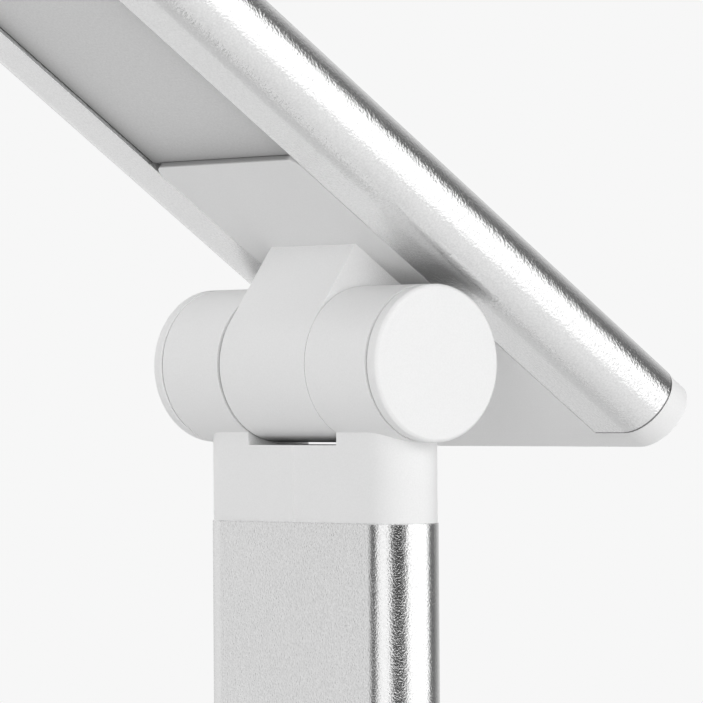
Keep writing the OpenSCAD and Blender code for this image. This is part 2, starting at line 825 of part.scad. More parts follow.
// ---------------------------------------------------------------- head
// The C-shaped section: a stadium tube, open underneath, with a screw port in each round side
module head_section() {
    difference() {
        union() {
            difference() {
                stadium(head_w, head_t);
                stadium(head_w - 2 * head_wall, head_t - 2 * head_wall);
                translate([-open_w / 2, -head_t]) square([open_w, head_t]);
            }
            for (x = [-1, 1]) translate([x * port_x, 0]) {
                circle(head_port_r);
                translate([x > 0 ? 0 : -head_rib_l, -head_rib_t / 2])
                    square([head_rib_l, head_rib_t]);
            }
        }
        for (x = [-1, 1]) translate([x * port_x, 0]) circle(small_screw_r + thread_gap);
    }
}

module head_extrusion() {
    color(silver) in_head() translate([0, head_tail, head_zc]) rotate([90, 0, 0])
        linear_extrude(head_l) head_section();
}

// An end cap's plate with its two countersunk holes, 0 <= z <= head_cap_l, outer face up
module head_cap_plate() {
    difference() {
        linear_extrude(head_cap_l)
            stadium(head_w - 2 * cap_outline_step, head_t - 2 * cap_outline_step);
        for (x = [-1, 1]) translate([x * port_x, 0, head_cap_l])
            flush_hole(small_hole_r, cap_screw_head_r + 0.15, head_cap_l + 1);
    }
}

module head_cap_screws() {
    for (x = [-1, 1]) translate([x * port_x, 0, head_cap_l])
        flush_screw(small_screw_r, cap_screw_head_r, head_cap_l + cap_screw_bite);
}

// The plate's outline: square at the rear, with round front corners
module plate_outline(w, r) {
    l = plate_reach + head_tail;
    translate([-w / 2, -plate_reach + r]) square([w, l - r + eps]);
    translate([-w / 2 + r, -plate_reach]) square([w - 2 * r, l]);
    for (x = [-1, 1]) translate([x * (w / 2 - r), -plate_reach + r]) circle(r);
}

// One moulding: knuckle, neck, flush plate, the flange behind the lips, and the rear cap
module head_rear_housing() {
    color(white) in_head() difference() {
        union() {
            knuckle(plate_top);
            translate([0, 0, under_z]) linear_extrude(plate_top - under_z)
                plate_outline(plug_in_w, plate_corner_r);
            translate([0, 0, lip_top]) linear_extrude(plate_flange_t)
                plate_outline(flange_w, plate_corner_r);
            // divider between the driver's chamber and the light chamber
            translate([-flange_w / 2, -plate_reach, plate_top - eps])
                cube([flange_w, divider_t, head_ceiling - push_gap - plate_top]);
            for (p = driver_spots) translate([p[0], p[1], plate_top - eps])
                cylinder(r = small_boss_r, h = driver_bottom - plate_top + eps);
            translate([0, head_tail, head_zc]) rotate([-90, 0, 0]) head_cap_plate();
        }
        knuckle_holes(plate_top + 1);
        for (p = driver_spots) translate([p[0], p[1], driver_bottom - small_bite - small_tip_space])
            cylinder(r = small_screw_r + thread_gap, h = small_bite + 1);
        // notch in the divider for the leads to the light board
        for (x = [-1, 1]) translate([x * led_lead_x - lead_channel_r, -plate_reach - 1,
                                     led_lead_z - lead_channel_r])
            cube([2 * lead_channel_r, divider_t + 2, 2 * lead_channel_r]);
    }
}

module head_rear_screws() {
    color(steel) in_head() translate([0, head_tail, head_zc]) rotate([-90, 0, 0]) head_cap_screws();
}

module head_hinge_bushes() {
    color([0.72, 0.55, 0.30]) in_head() bushes();
}

// The tip's cap, with a plug that fills the opening and holds the diffuser
module head_front_cap() {
    color(white) in_head() {
        translate([0, head_front, head_zc]) rotate([90, 0, 0]) head_cap_plate();
        translate([-plug_in_w / 2, head_front - eps, under_z])
            cube([plug_in_w, front_plug_l, lip_top - under_z + eps]);
        translate([-flange_w / 2, head_front - eps, lip_top])
            cube([flange_w, front_plug_l, head_ceiling - push_gap - lip_top]);
    }
}

module head_front_screws() {
    color(steel) in_head() translate([0, head_front, head_zc]) rotate([90, 0, 0]) head_cap_screws();
}

// Frosted panel: a raised middle in the opening and flanges behind the lips
module diffuser() {
    color([0.80, 0.80, 0.80]) in_head() {
        translate([-plug_in_w / 2, engine_front, under_z + diffuser_depth])
            cube([plug_in_w, engine_rear - engine_front, lip_top - under_z - diffuser_depth + eps]);
        translate([-flange_w / 2, engine_front, lip_top])
            cube([flange_w, engine_rear - engine_front, diffuser_flange_t]);
    }
}

// White frame with sloping sides between the diffuser and the light board
module reflector_frame() {
    bar = 2;
    h = led_board_bottom - diffuser_top - eps;
    color([0.95, 0.95, 0.95]) in_head() {
        for (m = [0, 1]) mirror([m, 0, 0]) translate([0, engine_rear, diffuser_top])
            rotate([90, 0, 0]) linear_extrude(engine_rear - engine_front) polygon([
                [flange_w / 2, 0], [open_w / 2, 0],
                [led_row_gap / 2 + led_w / 2 + 2, h], [flange_w / 2, h]]);
        for (y = [engine_rear - bar, engine_front])
            translate([-open_w / 2 - 0.5, y, diffuser_top]) cube([open_w + 1, bar, h - led_t - 1]);
    }
}

module led_board() {
    color([0.92, 0.92, 0.90]) in_head()
        translate([-led_board_w / 2, engine_front + 1, led_board_bottom])
            cube([led_board_w, engine_rear - engine_front - 2, head_board_t]);
}

module led_chips() {
    color([0.95, 0.85, 0.45]) in_head() for (x = [-1, 1], i = [0 : led_count - 1])
        translate([x * led_row_gap / 2 - led_w / 2, led_first - i * led_pitch - led_l / 2, led_bottom])
            cube([led_w, led_l, led_t]);
}

module driver_board() {
    color(board_green) in_head() difference() {
        translate([-driver_w / 2, driver_front, driver_bottom])
            cube([driver_w, driver_rear - driver_front, head_board_t]);
        for (p = driver_spots) translate([p[0], p[1], driver_bottom - 1])
            cylinder(r = small_hole_r, h = head_board_t + 2);
    }
}

// Driver chip, choke, two capacitors and the two plugs of the light board's leads
module driver_board_parts() {
    chip = [5, 4, 1];
    choke = [4, 4, 1.6];
    capacitor = [1.6, 2.4, 1];
    color([0.14, 0.14, 0.15]) in_head() {
        for (x = [-1, 1]) translate([x * led_lead_x - plug_w / 4, led_lead_rear, driver_top])
            cube([plug_w / 2, led_plug_l, led_lead_z + lead_r - driver_top]);
        translate([-chip.x / 2, driver_rear - 7, driver_top]) cube(chip);
        translate([-9, driver_rear - 8, driver_top]) cube(choke);
        for (x = [5, 8.5]) translate([x, driver_rear - 6, driver_top]) cube(capacitor);
    }
}

module driver_board_screws() {
    color(steel) in_head() for (p = driver_spots) translate([p[0], p[1], driver_top])
        pan_screw(small_screw_r, small_head_r, small_head_t, head_board_t + small_bite);
}

// From the shaft up the neck to the driver board; two leads go on to the light board
module head_leads() {
    color(lead_grey) in_head() {
        knuckle_lead(driver_bottom);
        for (x = [-1, 1]) translate([x * led_lead_x, led_lead_rear, led_lead_z])
            rotate([90, 0, 0]) lead_run(led_lead_rear - engine_rear + led_lead_end);
    }
}

anti_slip_pad();
base_cover();
base_cover_screws();
ballast_plate();
ballast_screws();
base_housing();
base_hinge_bushes();
touch_panel();
status_light_pipe();
control_board();
control_board_parts();
control_board_screws();
power_board();
power_board_parts();
power_board_screws();
usb_c_inlet();
base_leads();
arm_extrusion();
arm_lower_clevis();
arm_lower_screws();
arm_upper_clevis();
arm_upper_screws();
arm_lead();
base_hinge_shaft();
base_hinge_friction_washers();
base_hinge_spring_washers();
base_hinge_flat_washer();
base_hinge_nut();
base_hinge_end_caps();
head_hinge_shaft();
head_hinge_friction_washers();
head_hinge_spring_washers();
head_hinge_flat_washer();
head_hinge_nut();
head_hinge_end_caps();
head_extrusion();
head_rear_housing();
head_rear_screws();
head_hinge_bushes();
head_front_cap();
head_front_screws();
diffuser();
reflector_frame();
led_board();
led_chips();
driver_board();
driver_board_parts();
driver_board_screws();
head_leads();
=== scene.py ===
"""Looks of the folding LED desk lamp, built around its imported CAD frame."""
import json
import math

import bmesh
import bpy
from mathutils import Matrix, Vector


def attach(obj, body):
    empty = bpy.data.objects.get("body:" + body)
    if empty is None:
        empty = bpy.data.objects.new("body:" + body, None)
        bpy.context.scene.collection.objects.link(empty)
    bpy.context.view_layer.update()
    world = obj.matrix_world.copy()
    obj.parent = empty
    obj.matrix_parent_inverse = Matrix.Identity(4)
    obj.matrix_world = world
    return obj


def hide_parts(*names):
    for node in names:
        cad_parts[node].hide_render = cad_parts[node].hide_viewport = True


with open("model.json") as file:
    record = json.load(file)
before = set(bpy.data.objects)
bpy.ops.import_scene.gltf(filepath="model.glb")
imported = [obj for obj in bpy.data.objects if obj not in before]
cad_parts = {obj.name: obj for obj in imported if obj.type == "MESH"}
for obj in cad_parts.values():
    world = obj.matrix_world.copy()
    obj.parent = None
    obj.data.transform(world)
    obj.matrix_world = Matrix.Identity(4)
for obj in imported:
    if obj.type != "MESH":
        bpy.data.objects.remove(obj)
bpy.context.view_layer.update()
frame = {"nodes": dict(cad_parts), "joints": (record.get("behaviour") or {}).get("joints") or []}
NODES = frame["nodes"]
JOINTS = {joint["name"]: joint for joint in frame["joints"]}

MM = 0.001
SAME_MM = 0.01  # two places closer than this are on one face
ACROSS = Vector((1.0, 0.0, 0.0))
BACKWARD = Vector((0.0, 1.0, 0.0))
UPWARD = Vector((0.0, 0.0, 1.0))

# ---------------------------------------------------------------- the head at rest
HEAD_HINGE = Vector(JOINTS["head_tilt"]["pos_m"])
HEAD_RISE = math.radians(35.0)
HEAD_FORWARD = Vector((0.0, -math.cos(HEAD_RISE), math.sin(HEAD_RISE)))
HEAD_DOWN = Vector((0.0, -math.sin(HEAD_RISE), -math.cos(HEAD_RISE)))


def reach(name, axis):
    """How far a CAD node reaches along an axis from the head's hinge: its lowest and highest millimetre."""
    runs = [(vertex.co - HEAD_HINGE).dot(axis) / MM for vertex in NODES[name].data.vertices]
    return min(runs), max(runs)


def half_opening(name):
    """Half the width, in millimetres, of the opening in the underside of a CAD node of the head."""
    underside = reach(name, HEAD_DOWN)[1] - SAME_MM
    corners = [vertex.co for vertex in NODES[name].data.vertices]
    return min(abs(co.x) / MM for co in corners if (co - HEAD_HINGE).dot(HEAD_DOWN) / MM > underside)


def middle(name):
    """The middle of a CAD node's box."""
    corners = [vertex.co for vertex in NODES[name].data.vertices]
    return Vector([(min(axis) + max(axis)) / 2 for axis in zip(*corners)])


# ---------------------------------------------------------------- camera
SENSOR_MM = 36.0
IMAGE_PX = 703
CAMERA_AZIMUTH = math.radians(51.553)
CAMERA_ELEVATION = math.radians(-0.436)
CAMERA_ROLL = math.radians(0.389)
CAMERA_FOCAL_PX = 5649.0
CAMERA_OFFSET_MM = (-4.064, 1.865, 800.88)  # the hinge seen from the camera: right, down, away


def make_camera():
    """The photograph's camera, placed by where the head's hinge is seen."""
    level = Vector((math.cos(CAMERA_AZIMUTH), math.sin(CAMERA_AZIMUTH), 0.0))
    outward = Vector((math.sin(CAMERA_AZIMUTH), -math.cos(CAMERA_AZIMUTH), 0.0))
    back = math.cos(CAMERA_ELEVATION) * outward + math.sin(CAMERA_ELEVATION) * UPWARD
    down = level.cross(back)
    right = math.cos(CAMERA_ROLL) * level + math.sin(CAMERA_ROLL) * down
    low = math.cos(CAMERA_ROLL) * down - math.sin(CAMERA_ROLL) * level
    x, y, z = (offset * MM for offset in CAMERA_OFFSET_MM)
    data = bpy.data.cameras.new("camera")
    data.sensor_width = SENSOR_MM
    data.lens = CAMERA_FOCAL_PX / IMAGE_PX * SENSOR_MM
    data.clip_start = 0.01
    data.clip_end = 100.0
    camera = bpy.data.objects.new("camera", data)
    bpy.context.scene.collection.objects.link(camera)
    place = Matrix((right, -low, back)).transposed().to_4x4()
    place.translation = HEAD_HINGE - (right * x + low * y - back * z)
    camera.matrix_world = place
    bpy.context.scene.camera = camera


make_camera()
bpy.context.scene.view_settings.view_transform = "Standard"


# ---------------------------------------------------------------- node helpers
NOISE_SPREAD = 8.0  # brings a noise of 0.5 +- 0.125 to 0 +- 1


def grey(value):
    return (value, value, value, 1.0)


class Graph:
    """A material's or world's node tree, with short calls that add nodes to it."""

    def __init__(self, owner):
        owner.use_nodes = True
        self.tree = owner.node_tree
        self.tree.nodes.clear()

    def node(self, kind, values=None, **settings):
        """A node with its settings, and a value or a linked socket for each input named in values."""
        made = self.tree.nodes.new(kind)
        for name, value in settings.items():
            setattr(made, name, value)
        for name, value in (values or {}).items():
            self.put(made.inputs[name], value)
        return made

    def put(self, socket, value):
        if isinstance(value, bpy.types.NodeSocket):
            self.tree.links.new(value, socket)
        else:
            socket.default_value = value

    def math(self, operation, a, b=None, c=None, clamp=False):
        made = self.node("ShaderNodeMath", operation=operation, use_clamp=clamp)
        for i, value in enumerate((a, b, c)):
            if value is not None:
                self.put(made.inputs[i], value)
        return made.outputs[0]

    def vector(self, operation, a, b):
        return self.node("ShaderNodeVectorMath", {0: a, 1: b}, operation=operation).outputs["Vector"]

    def dot(self, a, b):
        return self.node("ShaderNodeVectorMath", {0: a, 1: b}, operation="DOT_PRODUCT").outputs["Value"]

    def length(self, a):
        return self.node("ShaderNodeVectorMath", {0: a}, operation="LENGTH").outputs["Value"]

    def scaled(self, a, share):
        made = self.node("ShaderNodeVectorMath", {0: a, "Scale": share}, operation="SCALE")
        return made.outputs["Vector"]

    def parts(self, a):
        return self.node("ShaderNodeSeparateXYZ", {"Vector": a}).outputs

    def mix(self, factor, a, b):
        """A colour between a and b. The node has sockets of the same name, so these go by number."""
        made = self.node("ShaderNodeMix", data_type="RGBA", blend_type="MIX")
        for i, value in ((0, factor), (6, a), (7, b)):
            self.put(made.inputs[i], value)
        return made.outputs[2]

    def mix_shader(self, factor, a, b):
        return self.node("ShaderNodeMixShader", {0: factor, 1: a, 2: b}).outputs[0]

    def span(self, value, from_low, from_high, to_low=0.0, to_high=1.0):
        """Goes smoothly from to_low to to_high while value goes from from_low to from_high."""
        made = self.node("ShaderNodeMapRange", clamp=True, interpolation_type="SMOOTHSTEP")
        for i, v in enumerate((value, from_low, from_high, to_low, to_high)):
            self.put(made.inputs[i], v)
        return made.outputs[0]

    def wander(self, place, size_mm, detail=2.0):
        """A noise of unit spread about zero, with lumps of size_mm."""
        values = {"Vector": place, "Scale": 1.0 / (size_mm * MM), "Detail": detail, "Roughness": 0.5}
        noise = self.node("ShaderNodeTexNoise", values).outputs["Fac"]
        return self.math("MULTIPLY_ADD", noise, NOISE_SPREAD, -0.5 * NOISE_SPREAD)

    def bump(self, height_um):
        """The normal of a surface that stands height_um above the mesh."""
        values = {"Height": height_um, "Strength": 1.0, "Distance": 1e-6}
        return self.node("ShaderNodeBump", values).outputs[0]

    def ramp(self, value, stops):
        """A grey that eases from stop to stop, each a place from 0 to 1 and its grey."""
        made = self.node("ShaderNodeValToRGB", {"Fac": value})
        made.color_ramp.interpolation = "EASE"
        points = made.color_ramp.elements
        while len(points) < len(stops):
            points.new(0.5)
        for point, (at, tone) in zip(points, sorted(stops)):
            point.position = at
            point.color = grey(tone)
        return made.outputs[0]


# ---------------------------------------------------------------- world and lamps
BACKGROUND = 0.93
AMBIENT = 0.3
CEILING = 0.8
CEILING_FROM = (0.45, 0.75)  # the height of a direction of unit length where the ring ends
# brightness of the studio round the lamp, by azimuth in degrees from -Y towards +X
STUDIO = (
    (-180, 0.30), (-165, 0.40), (-150, 0.66), (-60, 0.76), (-44, 0.66), (-37, 0.10), (-21, 0.10),
    (-12, 0.96), (22, 0.98), (33, 0.06), (66, 0.06), (79, 1.1), (142, 1.22), (150, 0.14), (176, 0.16),
    (180, 0.30),
)


def make_world():
    """A plain background for the camera, a studio for mirrored rays and an even grey for the rest."""
    world = bpy.data.worlds.new("studio")
    bpy.context.scene.world = world
    world.cycles.sampling_method = "NONE"
    g = Graph(world)
    x, y, z = g.parts(g.node("ShaderNodeTexCoord").outputs["Generated"])
    azimuth = g.math("ARCTAN2", x, g.math("MULTIPLY", y, -1.0))
    turn = g.math("MULTIPLY_ADD", azimuth, 0.5 / math.pi, 0.5)
    ring = g.ramp(turn, [((at + 180) / 360, tone) for at, tone in STUDIO])
    studio = g.mix(g.span(z, *CEILING_FROM), ring, grey(CEILING))
    path = g.node("ShaderNodeLightPath").outputs
    colour = g.mix(path["Is Glossy Ray"], grey(AMBIENT), studio)
    colour = g.mix(path["Is Camera Ray"], colour, grey(BACKGROUND))
    light = g.node("ShaderNodeBackground", {"Color": colour, "Strength": 1.0})
    g.node("ShaderNodeOutputWorld", {"Surface": light.outputs[0]})


LAMPS_AIM = Vector((0.0, 0.0, 0.25))
LAMPS = {  # name: (direction the light comes from, distance in m, side in m, watts)
    "right_back": ((1.0, 0.8, 0.3), 1.2, 0.9, 3.9),
    "camera_side": ((0.8, -0.62, 0.3), 1.4, 0.9, 11.6),
    "left_front": ((-0.7, -0.7, 0.2), 1.2, 0.9, 1.2),
    "left": ((-1.0, 0.0, 0.3), 1.2, 0.9, 7.8),
    "top": ((0.0, 0.0, 1.0), 1.2, 0.9, 1.9),
    "back": ((0.1, 1.0, 0.3), 1.2, 0.9, 3.4),
}


def make_lamps():
    """Soft square lamps round the object, which the studio above stands in for in mirrored rays."""
    for name, (way, distance, side, watts) in LAMPS.items():
        data = bpy.data.lights.new(name, "AREA")
        data.shape = "SQUARE"
        data.size = side
        data.energy = watts
        lamp = bpy.data.objects.new(name + "_lamp", data)
        bpy.context.scene.collection.objects.link(lamp)
        way = Vector(way).normalized()
        lamp.location = LAMPS_AIM + way * distance
        lamp.rotation_mode = "QUATERNION"
        lamp.rotation_quaternion = way.to_track_quat("Z", "Y")
        lamp.visible_glossy = False
        lamp.visible_camera = False


make_world()
make_lamps()


# ---------------------------------------------------------------- floor
FLOOR_RADIUS = 1.7
FLOOR_SIDES = 96
FLOOR_GREY = 0.72
FLOOR_FADE = (0.2, 0.95)  # distance in m over which the seen floor turns into the background

# Mirrored in the lamp, the floor is paint near the lamp and a lit sweep further out. The sweep starts
# closer on the lamp's right side, and behind the lamp it is a duller card that starts closer still.
SWEEP_STARTS = (0.5, 1.6)
RIGHT_STARTS = (0.60, 0.77)
CARD_STARTS = (0.25, 0.6)
SWEEP_LEFT = 0.92
SWEEP_RIGHT = 1.22
CARD_DROP = 0.54
CARD_SIDE = Vector((1.0, -1.6, 0.0))  # points from the card to the sweep on the right
# where these parts of the floor begin and are whole, by x in m and along CARD_SIDE
RIGHT_X = (0.0, 0.3)
RIGHT_SIDE = (-0.3, -0.05)
CARD_X = (-0.2, 0.1)
CARD_EDGE = (-0.05, -0.3)
SWEEP_TURNS_X = (-0.3, 0.0)
# grey of the paint as it is mirrored, by x in m: painted shade and light that only mirrored rays see
MIRRORED_FLOOR = (
    (-1.00, 0.60), (-0.72, 0.60), (-0.60, 0.645), (-0.52, 0.70), (-0.43, 0.70), (-0.32, 0.605),
    (-0.19, 0.605), (-0.08, 0.65), (0.10, 0.77), (0.20, 0.80), (0.31, 0.815), (1.0, 0.815),
)


def floor_disc():
    mesh = bpy.data.meshes.new("floor")
    shape = bmesh.new()
    bmesh.ops.create_circle(shape, cap_ends=True, radius=FLOOR_RADIUS, segments=FLOOR_SIDES)
    shape.to_mesh(mesh)
    shape.free()
    floor = bpy.data.objects.new("floor", mesh)
    bpy.context.scene.collection.objects.link(floor)
    return floor


def mirrored_sweep(g, place):
    """The sweep's share of the floor in mirrored rays, and its brightness."""
    away = g.length(place)
    x = g.parts(place)[0]
    side = g.dot(place, CARD_SIDE)
    right = g.math("MULTIPLY", g.span(x, *RIGHT_X), g.span(side, *RIGHT_SIDE))
    behind = g.math("MULTIPLY", g.span(x, *CARD_X), g.span(side, *CARD_EDGE))
    near = g.math("MULTIPLY", g.span(away, *RIGHT_STARTS), right)
    card = g.math("MULTIPLY", g.span(away, *CARD_STARTS), behind)
    share = g.math("MAXIMUM", g.math("MAXIMUM", g.span(away, *SWEEP_STARTS), near), card)
    brightness = g.span(x, *SWEEP_TURNS_X, SWEEP_LEFT, SWEEP_RIGHT)
    return share, g.math("MULTIPLY_ADD", behind, -CARD_DROP, brightness)


def make_floor():
    """A pale floor that keeps the shadow and fades into the background away from the lamp."""
    material = bpy.data.materials.new("floor")
    g = Graph(material)
    place = g.node("ShaderNodeTexCoord").outputs["Object"]
    path = g.node("ShaderNodeLightPath").outputs
    glossy = path["Is Glossy Ray"]
    per_metre = 0.5 / FLOOR_RADIUS
    share_of_width = g.math("MULTIPLY_ADD", g.parts(place)[0], per_metre, 0.5)
    # Mirrored rays see the floor in greys that paint shade and light on it.
    tone = g.ramp(share_of_width, [(at * per_metre + 0.5, value) for at, value in MIRRORED_FLOOR])
    paint = g.node("ShaderNodeBsdfDiffuse", {"Color": g.mix(glossy, grey(FLOOR_GREY), tone)})
    glow = g.node("ShaderNodeEmission", {"Color": grey(BACKGROUND), "Strength": 1.0})
    seen = g.math("MULTIPLY", g.span(g.length(place), *FLOOR_FADE), path["Is Camera Ray"])
    share, strength = mirrored_sweep(g, place)
    sweep = g.node("ShaderNodeEmission", {"Color": grey(1.0), "Strength": strength})
    both = g.mix_shader(seen, paint.outputs[0], glow.outputs[0])
    both = g.mix_shader(g.math("MULTIPLY", share, glossy), both, sweep.outputs[0])
    g.node("ShaderNodeOutputMaterial", {"Surface": both})
    floor = floor_disc()
    floor.data.materials.append(material)


make_floor()


# ---------------------------------------------------------------- materials
CLOUD_MM = 14.0
WAVE_MM = 22.0
SPECK_GRAINS = 1.2         # size of a speck of colour, in grains
CORNER_MM = 5.0            # painted corner shade reaches this far
CORNER_OPEN = (0.05, 0.4)  # share of open sky deep in a corner and clear of it
EDGE_MM = 0.4              # an edge is worn and lightened by painted highlight this far
EDGE_LEVEL = (0.995, 0.9)  # cosine of the turn at which wear and the painted highlight begin and are full
EDGE_POLISH = 0.25         # share of the roughness that wear takes away


def painted_corner_shade(g, loss):
    """The colour's share in corners, where painted shade darkens it."""
    values = {"Distance": CORNER_MM * MM}
    open_air = g.node("ShaderNodeAmbientOcclusion", values, samples=6).outputs["AO"]
    return g.span(open_air, *CORNER_OPEN, 1.0 - loss, 1.0)


def worn_and_lit_edge(g):
    """1 on sharp edges, which hands and cloths have rubbed and where a painted highlight lightens the
    colour.
    """
    flat = g.node("ShaderNodeNewGeometry").outputs["Normal"]
    turned = g.node("ShaderNodeBevel", {"Radius": EDGE_MM * MM}, samples=4).outputs["Normal"]
    return g.span(g.dot(flat, turned), *EDGE_LEVEL)


def grain(g, place, size_mm, depth_um, lay, coarser):
    """The height of the surface's texture in micrometres."""
    drawn = g.vector("MULTIPLY", place, lay) if lay else place
    if not coarser:
        return g.math("MULTIPLY", g.wander(drawn, size_mm), depth_um)
    share = coarser(g, place)
    drawn = g.scaled(drawn, g.math("DIVIDE", 1.0, share))
    height = g.math("MULTIPLY", g.wander(drawn, size_mm), depth_um)
    return g.math("MULTIPLY", height, share)


def surface(name, colour, rough, grain_mm=0.25, grain_um=0.3, metal=0.0, mottle=0.004, specks=0.0,
            patches=0.06, wave_um=0.0, corner_shade=0.0, wear_and_highlight=0.0, lay=None, coarser=None, shade=None,
            **shader):
    """A moulded, cast or drawn surface.

    grain_mm and grain_um are its texture's size and depth, and wave_um the depth of its slow waves.
    mottle and specks are how far its colour wanders over it and from grain to grain, and patches the
    same for its roughness. Corners get a darker colour as painted shade, and sharp edges a lighter one,
    partly as wear and partly as a painted highlight.
    lay stretches the grain along an axis whose value is small, and coarser(g, place) enlarges it.
    shade(g, place) gives a further share of the colour. The rest goes to the shader's sockets.
    """
    material = bpy.data.materials.new(name)
    g = Graph(material)
    place = g.node("ShaderNodeTexCoord").outputs["Object"]
    clouds = g.wander(place, CLOUD_MM, detail=3.0)
    tint = g.math("MULTIPLY_ADD", clouds, mottle, 1.0)
    roughness = g.math("MULTIPLY_ADD", clouds, patches * rough, rough)
    if specks:
        tint = g.math("MULTIPLY_ADD", g.wander(place, SPECK_GRAINS * grain_mm, detail=1.0), specks, tint)
    if shade:
        tint = g.math("MULTIPLY", tint, shade(g, place))
    # Corners are darkened by an occlusion mask: painted shade.
    if corner_shade:
        tint = g.math("MULTIPLY", tint, painted_corner_shade(g, corner_shade))
    # Sharp edges are polished, and their colour is lightened, partly as wear and partly as a painted
    # highlight.
    if wear_and_highlight:
        edge = worn_and_lit_edge(g)
        roughness = g.math("MULTIPLY", roughness, g.math("MULTIPLY_ADD", edge, -EDGE_POLISH, 1.0))
        tint = g.math("MULTIPLY_ADD", edge, wear_and_highlight, tint)
    height = grain(g, place, grain_mm, grain_um, lay, coarser)
    if wave_um:
        height = g.math("MULTIPLY_ADD", g.wander(place, WAVE_MM), wave_um, height)
    values = {"Base Color": g.scaled(colour, tint), "Roughness": roughness, "Metallic": metal, **shader}
    skin = g.node("ShaderNodeBsdfPrincipled", values)
    g.put(skin.inputs["Normal"], g.bump(height))
    g.node("ShaderNodeOutputMaterial", {"Surface": skin.outputs[0]})
    return material


def along(g, place, axis, start):
    """Millimetres along a direction of the object at rest, from a point of it."""
    return g.math("DIVIDE", g.dot(g.vector("SUBTRACT", place, start), axis), MM)


# ---------------------------------------------------------------- shades of the head
PLATE_FRONT_MM = reach("head_rear_housing", HEAD_FORWARD)[1]
TIP_REAR_MM = 270.5           # from the hinge to the diffuser's border at the tip
CUT_MM = reach("head_extrusion", HEAD_FORWARD)[0]
HALF_OPENING_MM = half_opening("head_extrusion")
BEHIND_ARM_MM = (10.0, 12.0)  # from the hinge, between the arm and the head's rear cut
GRAIN_GROWS_MM = (-22.5, -16.5)  # heights from the hinge, the lower one just under the arm's top
HEAD_GRAIN = 1.6              # size of the head's grain against the arm's
SEAM_MM = (0.2, 0.4)          # from the rear cut, where the painted seam shadow fades
SEAM_SHARE = 0.22             # what is left of the colour in the painted seam shadow
STEP_MM = 0.4                 # length of the plate's rounded front edge
STEP_SHARE = 0.42             # what is left of the colour on the step
PAST_STEP_MM = (2.2, 3.2)     # from the plate's front, where white pieces have their full colour again
DIFFUSER_BORDERS = (  # inward direction, where the border is along it, depth of the shadow, its reach
    (ACROSS, -HALF_OPENING_MM, 0.64, 2.7), (-ACROSS, -HALF_OPENING_MM, 0.12, 3.0),
    (HEAD_FORWARD, PLATE_FRONT_MM, 0.52, 3.7), (-HEAD_FORWARD, -TIP_REAR_MM, 0.40, 3.7),
)


def frame_shadow(g, place):
    """The sheet is darker along its borders, where the frame behind it blocks the light."""
    share = 1.0
    for axis, edge, depth, fade_mm in DIFFUSER_BORDERS:
        inward = g.math("SUBTRACT", along(g, place, axis, HEAD_HINGE), edge)
        fade = g.math("EXPONENT", g.math("DIVIDE", inward, -fade_mm))
        share = g.math("MULTIPLY", g.math("MULTIPLY_ADD", fade, -depth, 1.0, clamp=True), share)
    return share


def step_shadow(g, place):
    """The step from the head's plate down to the diffuser lies in its own shadow."""
    ahead = along(g, place, HEAD_FORWARD, HEAD_HINGE)
    step = g.span(ahead, PLATE_FRONT_MM - STEP_MM, PLATE_FRONT_MM, 1.0, STEP_SHARE)
    past_step = g.span(ahead, *(PLATE_FRONT_MM + past for past in PAST_STEP_MM))
    return g.math("MAXIMUM", step, past_step)


def painted_seam_shadow(g, place):
    """A thin painted shadow darkens the head's rear cut edge against the white cap behind it."""
    ahead = along(g, place, HEAD_FORWARD, HEAD_HINGE)
    seam_shadow = g.span(ahead, *(CUT_MM + inside for inside in SEAM_MM), SEAM_SHARE, 1.0)
    behind_arm = g.span(along(g, place, BACKWARD, HEAD_HINGE), *BEHIND_ARM_MM)
    return g.math("MULTIPLY_ADD", behind_arm, g.math("SUBTRACT", seam_shadow, 1.0), 1.0)


def head_blasting(g, place):
    """The head is blasted more coarsely than the arm, which ends below it."""
    height = along(g, place, UPWARD, HEAD_HINGE)
    return g.span(height, *GRAIN_GROWS_MM, 1.0, HEAD_GRAIN)


# ---------------------------------------------------------------- marks of the touch panel, in mm
PANEL_MIDDLE = middle("touch_panel")
POWER_X = -30.0
MINUS_X = -8.0
PLUS_X = 14.0
POWER_RADIUS = 3.6
POWER_GAP_HALVES = (1.3, 2.0)
POWER_BAR_Y = 2.6
POWER_BAR_HALF = 2.2
STROKE_HALF = 0.32
SIGN_HALF = 2.6
MARK_BLUR = 0.05
MARK_SHARE = 16.0  # brightness of a mark against the dark panel


